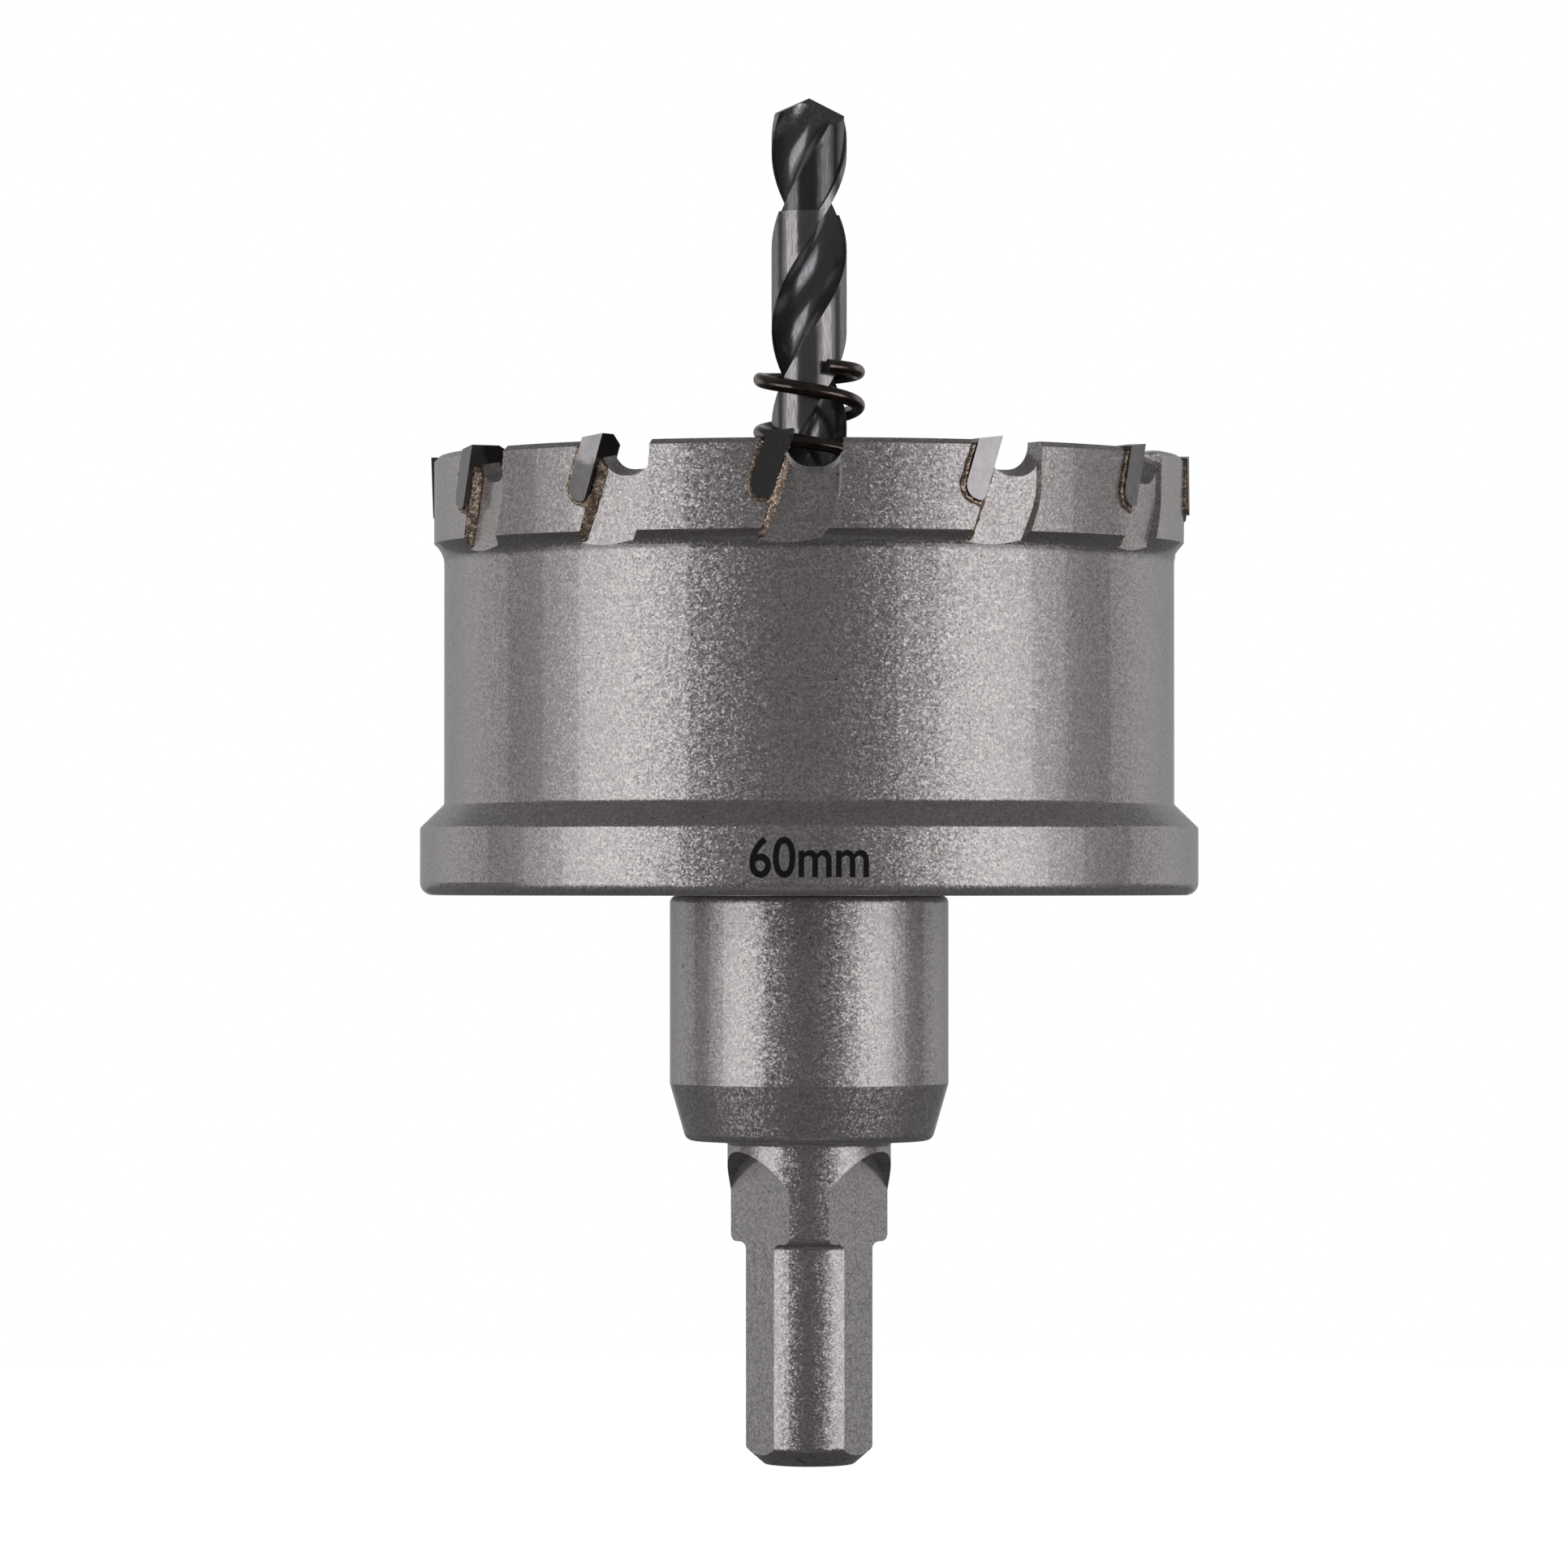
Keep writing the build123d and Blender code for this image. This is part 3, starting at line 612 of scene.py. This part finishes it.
def draw_in_strips(mesh, sizes):
    """Narrows each strip of braze towards its lower end, along the wall of its chip pocket."""
    lean_sin, lean_cos = sin(sizes.tooth_lean), cos(sizes.tooth_lean)
    teeth = tooth_turns()
    for point in mesh.vertices:
        x, y, z = point.co
        turn, reach = atan2(x, -y), hypot(x, y)
        tooth = min(teeth, key=lambda other: abs((turn - other + pi) % tau - pi))
        across = reach * sin(turn - tooth)
        drop = RIM_TOP - z
        down = drop * lean_cos - across * lean_sin
        ahead = across * lean_cos + drop * lean_sin
        share = (down - sizes.strip_start) / (sizes.strip_end - sizes.strip_start)
        if share > 0 and ahead > sizes.strip_root:
            width = ahead - sizes.strip_root
            ahead = sizes.strip_root + width * (1 - sizes.strip_narrowing * min(share, 1.0))
            turn = tooth + asin((ahead * lean_cos - down * lean_sin) / reach)
            height = RIM_TOP - down * lean_cos - ahead * lean_sin
            point.co = (reach * sin(turn), -reach * cos(turn), height)


class HOLESAW_OT_coated_steel(bpy.types.Operator):
    """Gives the cup and the arbor their baked metallic coat"""

    bl_idname = "holesaw.coated_steel"
    bl_label = "Coat the cup and arbor"

    def execute(self, context):
        scene = context.scene
        give_finish(["cup", "arbor"], coated_steel(scene.holesaw_colours, scene.holesaw_sizes))
        return {"FINISHED"}


class HOLESAW_OT_carbide_tips(bpy.types.Operator):
    """Gives the carbide tips their ground finish"""

    bl_idname = "holesaw.carbide_tips"
    bl_label = "Grind the carbide tips"

    def execute(self, context):
        give_finish(TIP_NAMES, ground_carbide(context.scene.holesaw_colours))
        return {"FINISHED"}


class HOLESAW_OT_braze(bpy.types.Operator):
    """Makes the lumpy braze beads that hold the tips"""

    bl_idname = "holesaw.braze"
    bl_label = "Braze the tips"

    def execute(self, context):
        sizes = context.scene.holesaw_sizes
        fewest_faces = 1000
        material = cast_braze(context.scene.holesaw_colours)
        beads = joined_copy(BRAZE_NAMES, "braze_beads")
        values = {
            "Lump": sizes.grain,
            "Flatness": sizes.grain_flatness,
            "Density": sizes.grain_count / MM**2,
            "Seed": sizes.seed,
        }
        made = melted_mesh_from(beads, braze_lump_tree(material), values, sizes.braze_detail)
        if len(made.polygons) < fewest_faces:
            raise RuntimeError("the braze has no shape")
        draw_in_strips(made, sizes)
        made.materials.clear()
        made.materials.append(material)
        root_piece(beads)
        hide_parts(*BRAZE_NAMES)
        return {"FINISHED"}


class HOLESAW_OT_pilot_drill(bpy.types.Operator):
    """Gives the pilot drill its black flutes and ground lands"""

    bl_idname = "holesaw.pilot_drill"
    bl_label = "Finish the pilot drill"

    def execute(self, context):
        give_finish(["pilot_drill"], drill_steel(context.scene.holesaw_colours))
        return {"FINISHED"}


class HOLESAW_OT_ejector_spring(bpy.types.Operator):
    """Gives the ejector spring its tempered skin"""

    bl_idname = "holesaw.ejector_spring"
    bl_label = "Temper the ejector spring"

    def execute(self, context):
        give_finish(["ejector_spring"], tempered_wire(context.scene.holesaw_colours))
        return {"FINISHED"}


class HOLESAW_OT_grub_screw(bpy.types.Operator):
    """Gives the grub screw its black oxide"""

    bl_idname = "holesaw.grub_screw"
    bl_label = "Blacken the grub screw"

    def execute(self, context):
        give_finish(["grub_screw"], black_oxide(context.scene.holesaw_colours))
        return {"FINISHED"}


class HOLESAW_OT_size_mark(bpy.types.Operator):
    """Prints the plain size mark on the front of the flange"""

    bl_idname = "holesaw.size_mark"
    bl_label = "Print the size mark"

    def execute(self, context):
        sizes = context.scene.holesaw_sizes
        # The letters are made at a scale of their own, and brought to size afterwards
        half_thickness, stroke_gain, merge_distance = 0.5, 0.013, 1e-5
        cuts, cut_distance = 40, 1e-7
        letters = bpy.data.curves.new("size_mark_letters", "FONT")
        letters.body = sizes.mark_text
        letters.extrude = half_thickness
        letters.offset = stroke_gain
        source = bpy.data.objects.new("size_mark_letters", letters)
        context.collection.objects.link(source)
        mesh = bpy.data.meshes.new_from_object(source.evaluated_get(context.evaluated_depsgraph_get()))
        bpy.data.objects.remove(source)
        if not mesh.vertices:
            raise RuntimeError("the size mark has no letters")
        shape = bmesh.new()
        shape.from_mesh(mesh)
        bmesh.ops.remove_doubles(shape, verts=shape.verts, dist=merge_distance)
        across = [point.co.x for point in shape.verts]
        left, width = min(across), max(across) - min(across)
        height = max(point.co.y for point in shape.verts)
        for point in shape.verts:
            point.co.x = (point.co.x - left) / width * sizes.mark_width - sizes.mark_width / 2
            point.co.y = point.co.y / height * sizes.mark_height
        # Upright cuts let the flat letters bend round the flange
        for cut in range(1, cuts):
            bmesh.ops.bisect_plane(
                shape,
                geom=[*shape.verts, *shape.edges, *shape.faces],
                plane_co=(sizes.mark_width * (cut / cuts - 0.5), 0, 0),
                plane_no=(1, 0, 0),
                dist=cut_distance,
            )
        for point in shape.verts:
            out = FLANGE_RADIUS + (sizes.mark_thickness if point.co.z > 0 else -sizes.mark_thickness)
            turn = point.co.x / FLANGE_RADIUS
            point.co = Vector((out * sin(turn), -out * cos(turn), sizes.mark_level + point.co.y))
        bmesh.ops.recalc_face_normals(shape, faces=shape.faces)
        shape.to_mesh(mesh)
        shape.free()
        piece = bpy.data.objects.new("size_mark", mesh)
        context.collection.objects.link(piece)
        mesh.materials.clear()
        mesh.materials.append(printed_ink(context.scene.holesaw_colours))
        root_piece(piece)
        return {"FINISHED"}


def pale_floor_material():
    """Seamless white paper: white to the camera, with a soft shadow, and clear when seen from below.

    Reflections of it come from the world.
    """
    paper_colour, paper_glow = linear("#8c8c8c"), 0.93
    material = bpy.data.materials.new("seamless_paper_white")
    material.use_nodes = True
    tree = material.node_tree
    tree.nodes.clear()
    paper = add_node(tree, "ShaderNodeBsdfDiffuse", {"Color": (*paper_colour, 1)})
    seen = product(tree, add_node(tree, "ShaderNodeLightPath").outputs["Is Camera Ray"], paper_glow)
    glow = add_node(tree, "ShaderNodeEmission", {"Color": (1, 1, 1, 1), "Strength": seen})
    both = add_node(tree, "ShaderNodeAddShader", {0: paper.outputs[0], 1: glow.outputs[0]})
    clear = add_node(tree, "ShaderNodeBsdfTransparent")
    from_below = add_node(tree, "ShaderNodeNewGeometry").outputs["Backfacing"]
    one_sided = add_node(
        tree, "ShaderNodeMixShader", {0: from_below, 1: both.outputs[0], 2: clear.outputs[0]}
    )
    add_node(tree, "ShaderNodeOutputMaterial", {"Surface": one_sided.outputs[0]})
    return material


def studio_world(studio):
    """White for the camera. In reflections it is pale paper behind the saw, and dim in front and below."""
    world = bpy.data.worlds.new("studio")
    world.use_nodes = True
    tree = world.node_tree
    tree.nodes.clear()
    rays = add_node(tree, "ShaderNodeLightPath").outputs
    direction = add_node(tree, "ShaderNodeTexCoord").outputs["Generated"]
    parts = add_node(tree, "ShaderNodeSeparateXYZ", {"Vector": direction}).outputs
    behind, above = parts["Y"], parts["Z"]
    # Where each surface begins and ends, in parts of a direction that is 1 long
    paper_side, paper_middle = (0.31, 0.35), (0.55, 0.95)
    paper_top, paper_foot = (0.3, 0.5), (-0.16, -0.09)
    table_depth, table_back = (-0.8, -0.62), (-0.55, -0.35)
    paper = product(tree, band(tree, behind, *paper_side), band(tree, above, *paper_top, 1.0, 0.0))
    paper = product(tree, paper, band(tree, above, *paper_foot))
    paper = product(tree, paper, band(tree, behind, *paper_middle, 1.0, 0.3))
    steep = product(
        tree, band(tree, above, *table_depth, 1.0, 0.0), band(tree, behind, *table_back, 1.0, 0.0)
    )
    dim = band(tree, steep, 0.0, 1.0, studio.room, studio.table)
    paper = add_node(
        tree, "ShaderNodeMapRange", {"Value": paper, "To Min": dim, "To Max": studio.backdrop}
    ).outputs["Result"]
    mirrored = add_node(
        tree,
        "ShaderNodeMath",
        {0: rays["Is Glossy Ray"], 1: rays["Is Transmission Ray"]},
        operation="MAXIMUM",
    ).outputs[0]
    soft = band(tree, behind, -0.1, 0.5, studio.fill, studio.back_fill)
    soft = mix_colours(tree, band(tree, above, 0.45, 0.85), soft, (studio.top_fill,) * 3)
    dull = mix_colours(tree, mirrored, soft, paper)
    shown = mix_colours(tree, rays["Is Camera Ray"], dull, (1, 1, 1))
    light = add_node(tree, "ShaderNodeBackground", {"Color": shown, "Strength": 1.0})
    add_node(tree, "ShaderNodeOutputWorld", {"Surface": light.outputs[0]})
    return world


def softbox(name, first, last, low, high, distance, level):
    """An upright lamp that faces the saw and shows between two azimuths and two heights.

    Azimuth 0 is the camera's side, positive to the right. The level is the lamp's brightness,
    where white paper is 1.
    """
    lamp = bpy.data.lights.new(name, "AREA")
    lamp.shape = "RECTANGLE"
    lamp.size = 2 * distance * tan(radians(last - first) / 2)
    lamp.size_y = high - low
    lamp.energy = level * pi * lamp.size * lamp.size_y
    holder = bpy.data.objects.new(name, lamp)
    turn = radians(first + last) / 2
    holder.location = (distance * sin(turn), -distance * cos(turn), (low + high) / 2)
    holder.rotation_euler = (pi / 2, 0, turn)
    bpy.context.collection.objects.link(holder)


class HOLESAW_OT_studio(bpy.types.Operator):
    """Sets the floor, the lamps, the world and the camera"""

    bl_idname = "holesaw.studio"
    bl_label = "Set the studio"

    def execute(self, context):
        studio = context.scene.holesaw_studio
        floor_radius, floor_level, corners = 140 * MM, -0.01 * MM, 96
        turns = [tau * step / corners for step in range(corners)]
        rim = [(floor_radius * cos(turn), floor_radius * sin(turn), floor_level) for turn in turns]
        mesh = bpy.data.meshes.new("paper_floor")
        mesh.from_pydata(rim, [], [range(corners)])
        floor = bpy.data.objects.new("paper_floor", mesh)
        context.collection.objects.link(floor)
        mesh.materials.append(pale_floor_material())
        floor.visible_glossy = False

        context.scene.world = studio_world(studio)
        low, high, far = -0.2, 0.2, 0.6
        near = far - 0.01
        lamps = (
            ("softbox_left_wide", -90, -38, far, 0.3 * studio.left_level),
            ("softbox_left_inner", -75, -37, near, 0.7 * studio.left_level),
            ("softbox_right_wide", 27, 86, far, 0.4 * studio.right_level),
            ("softbox_right_inner", 40, 72, near, 0.6 * studio.right_level),
        )
        for name, first, last, distance, level in lamps:
            softbox(name, first, last, low, high, distance, level)

        image, sensor = 1932, 36.0
        focal = studio.axis_scale * studio.camera_distance / MM
        lens = bpy.data.cameras.new("studio_camera")
        lens.sensor_width = sensor
        lens.lens = sensor * focal / image
        lens.clip_start = 0.01
        lens.clip_end = 20.0
        camera = bpy.data.objects.new("studio_camera", lens)
        context.collection.objects.link(camera)
        camera.location = (0, -studio.camera_distance, studio.camera_height)
        upwards = atan((studio.level_pixel - image / 2) / focal)
        leftwards = atan((studio.axis_pixel - image / 2) / focal)
        camera.rotation_euler = (pi / 2 + upwards, 0, leftwards)
        context.scene.camera = camera
        context.scene.view_settings.view_transform = "Standard"
        return {"FINISHED"}


OPERATORS = (
    HOLESAW_OT_coated_steel,
    HOLESAW_OT_carbide_tips,
    HOLESAW_OT_braze,
    HOLESAW_OT_pilot_drill,
    HOLESAW_OT_ejector_spring,
    HOLESAW_OT_grub_screw,
    HOLESAW_OT_size_mark,
    HOLESAW_OT_studio,
)
GROUPS = {
    "holesaw_colours": HoleSawColours,
    "holesaw_sizes": HoleSawSizes,
    "holesaw_studio": HoleSawStudio,
}


class HOLESAW_PT_panel(bpy.types.Panel):
    """Lists the hole saw's steps and settings"""

    bl_label = "Hole Saw"
    bl_idname = "HOLESAW_PT_panel"
    bl_space_type = "VIEW_3D"
    bl_region_type = "UI"
    bl_category = "Hole Saw"

    def draw(self, context):
        for operator in OPERATORS:
            self.layout.operator(operator.bl_idname)
        for name, group in GROUPS.items():
            column = self.layout.column()
            for setting in group.__annotations__:
                column.prop(getattr(context.scene, name), setting)


def register():
    for group in GROUPS.values():
        bpy.utils.register_class(group)
    for name, group in GROUPS.items():
        setattr(bpy.types.Scene, name, bpy.props.PointerProperty(type=group))
    for operator in OPERATORS:
        bpy.utils.register_class(operator)
    bpy.utils.register_class(HOLESAW_PT_panel)


def unregister():
    bpy.utils.unregister_class(HOLESAW_PT_panel)
    for operator in reversed(OPERATORS):
        bpy.utils.unregister_class(operator)
    for name, group in reversed(GROUPS.items()):
        delattr(bpy.types.Scene, name)
        bpy.utils.unregister_class(group)


def main():
    register()
    bpy.ops.holesaw.coated_steel()
    bpy.ops.holesaw.carbide_tips()
    bpy.ops.holesaw.braze()
    bpy.ops.holesaw.pilot_drill()
    bpy.ops.holesaw.ejector_spring()
    bpy.ops.holesaw.grub_screw()
    bpy.ops.holesaw.size_mark()
    bpy.ops.holesaw.studio()


if __name__ == "__main__":
    main()
